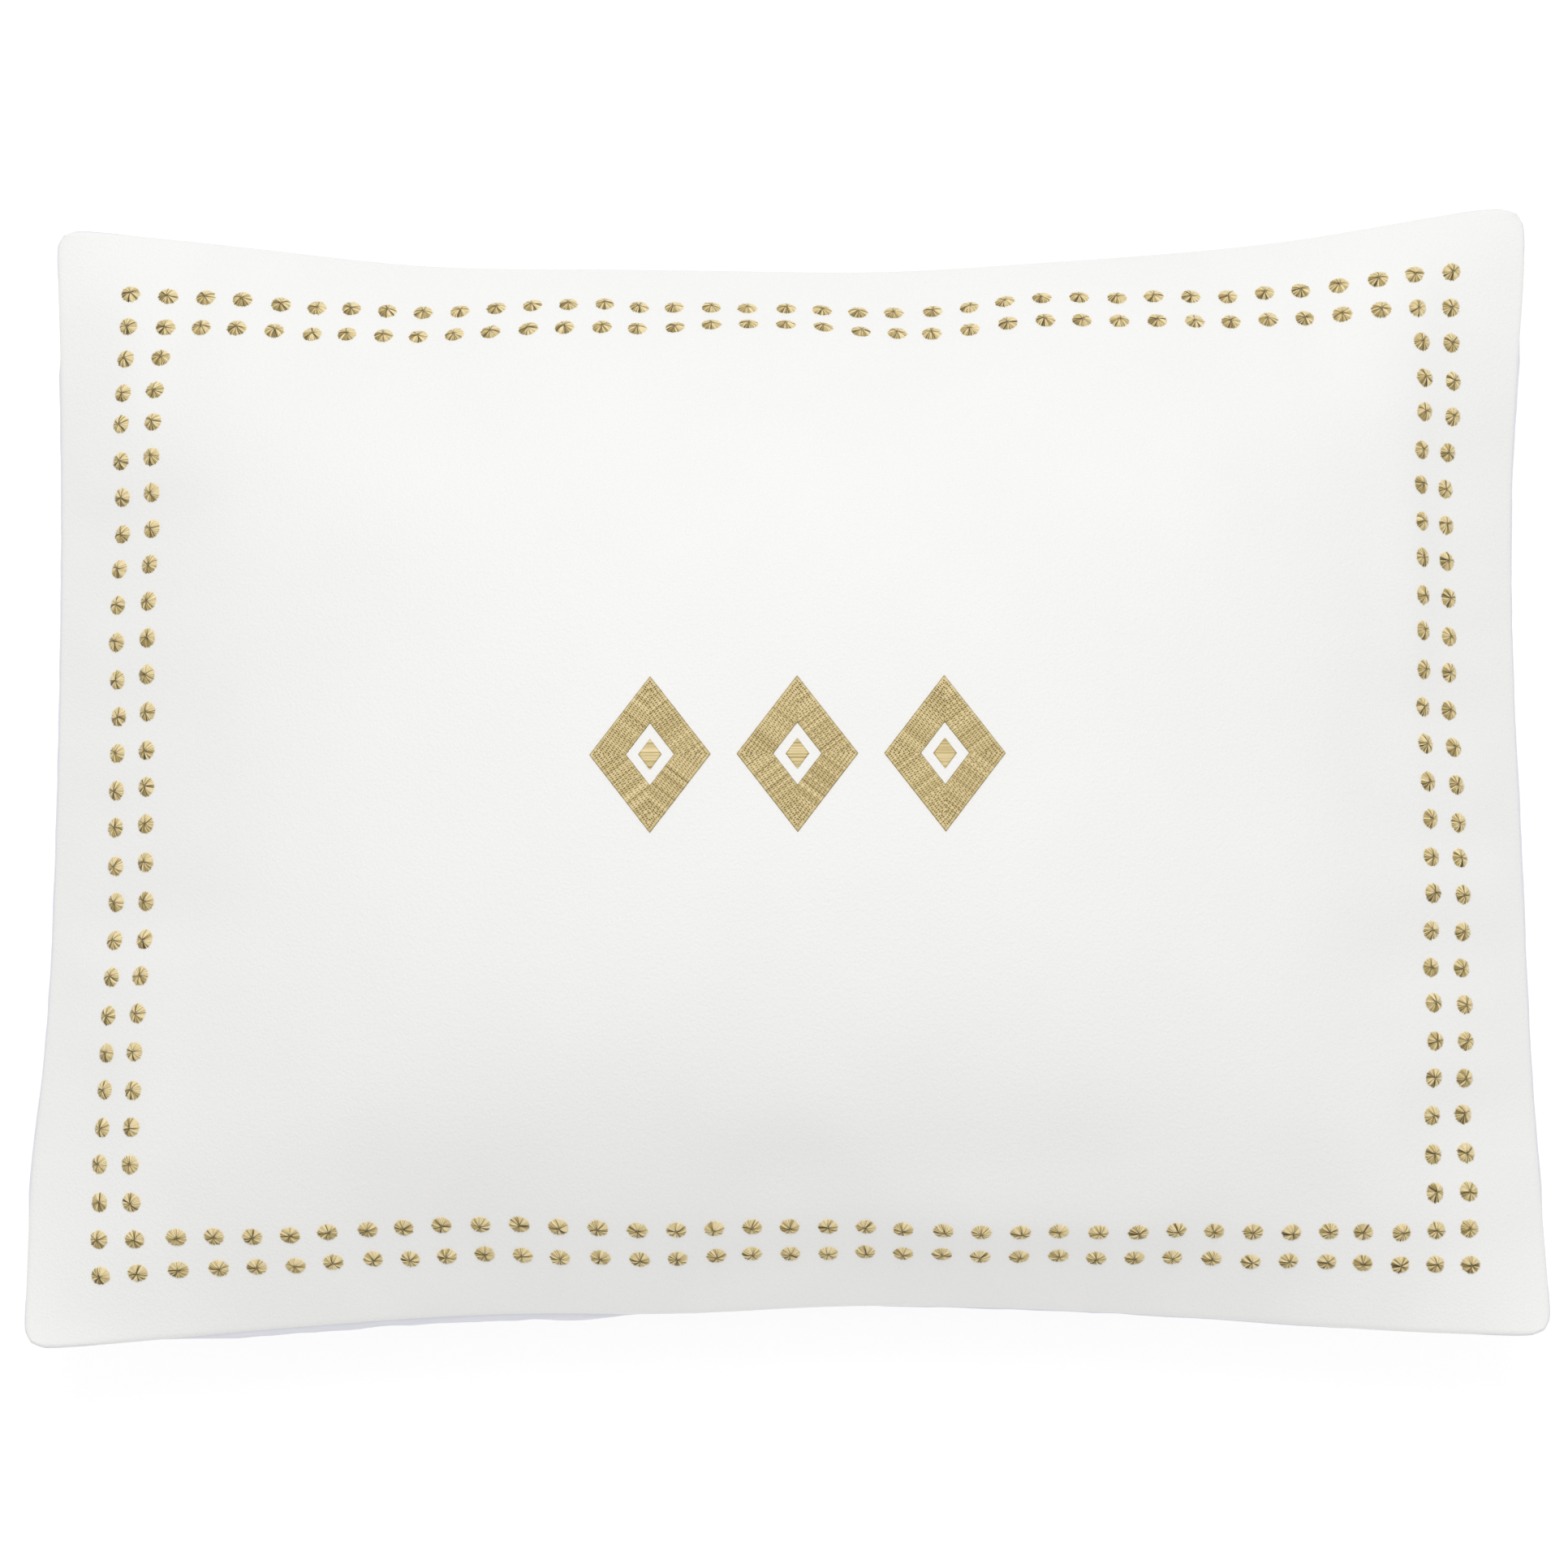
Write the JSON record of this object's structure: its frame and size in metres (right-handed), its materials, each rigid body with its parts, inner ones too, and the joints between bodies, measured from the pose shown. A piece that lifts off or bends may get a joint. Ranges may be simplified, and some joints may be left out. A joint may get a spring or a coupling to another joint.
{
  "type": "embroidered pillow",
  "caption": "Plump rectangular leather pillow with a dotted gold border, three gold lozenges, a satin back, a closed zip and a filled insert.",
  "frame": {"origin": "under the middle of the pillow, on the floor it rests on", "axes": "+Z is the outward normal of the front; +X runs along the length; +Y points to the top edge of the design"},
  "size_m": [0.6588, 0.4972, 0.1484],
  "materials": {
    "leather": "satin",
    "satin": "satin",
    "gold_thread": "satin",
    "white_thread": "satin",
    "backing": "matte",
    "zip_tape": "matte",
    "zip_coil": "gloss",
    "zip_metal": "gloss",
    "ticking": "matte",
    "filling": "matte"
  },
  "bodies": {
    "pillow": {"front_panel": "leather", "back_panel": "satin", "back_strip": "satin", "seam_allowance": "leather", "seam_thread": "white_thread", "dots_outer": "gold_thread", "dots_inner": "gold_thread", "lozenge_left": "gold_thread", "lozenge_centre": "gold_thread", "lozenge_right": "gold_thread", "border_backing": "backing", "lozenge_backing": "backing", "zip_tape_upper": "zip_tape", "zip_tape_lower": "zip_tape", "zip_coil_upper": "zip_coil", "zip_coil_lower": "zip_coil", "zip_closed_stops": "zip_metal", "zip_open_stop": "zip_metal", "zip_bar_tacks": "white_thread", "zip_stitching": "white_thread", "insert_front": "ticking", "insert_back": "ticking", "insert_seam": "white_thread", "insert_filling": "filling"},
    "slider": {"zip_slider": "zip_metal"},
    "pull": {"zip_pull": "zip_metal"}
  },
  "joints": [
    {"name": "zip_slide", "type": "slide", "parent": "pillow", "child": "slider", "axis": [1, 0, 0], "range_m": [0, 0.3855]},
    {"name": "pull_flip", "type": "hinge", "parent": "slider", "child": "pull", "pos_m": [-0.19275, -0.20615, 0.02625], "axis": [0, -0.766, 0.6428], "range_deg": [-85, 85]}
  ]
}
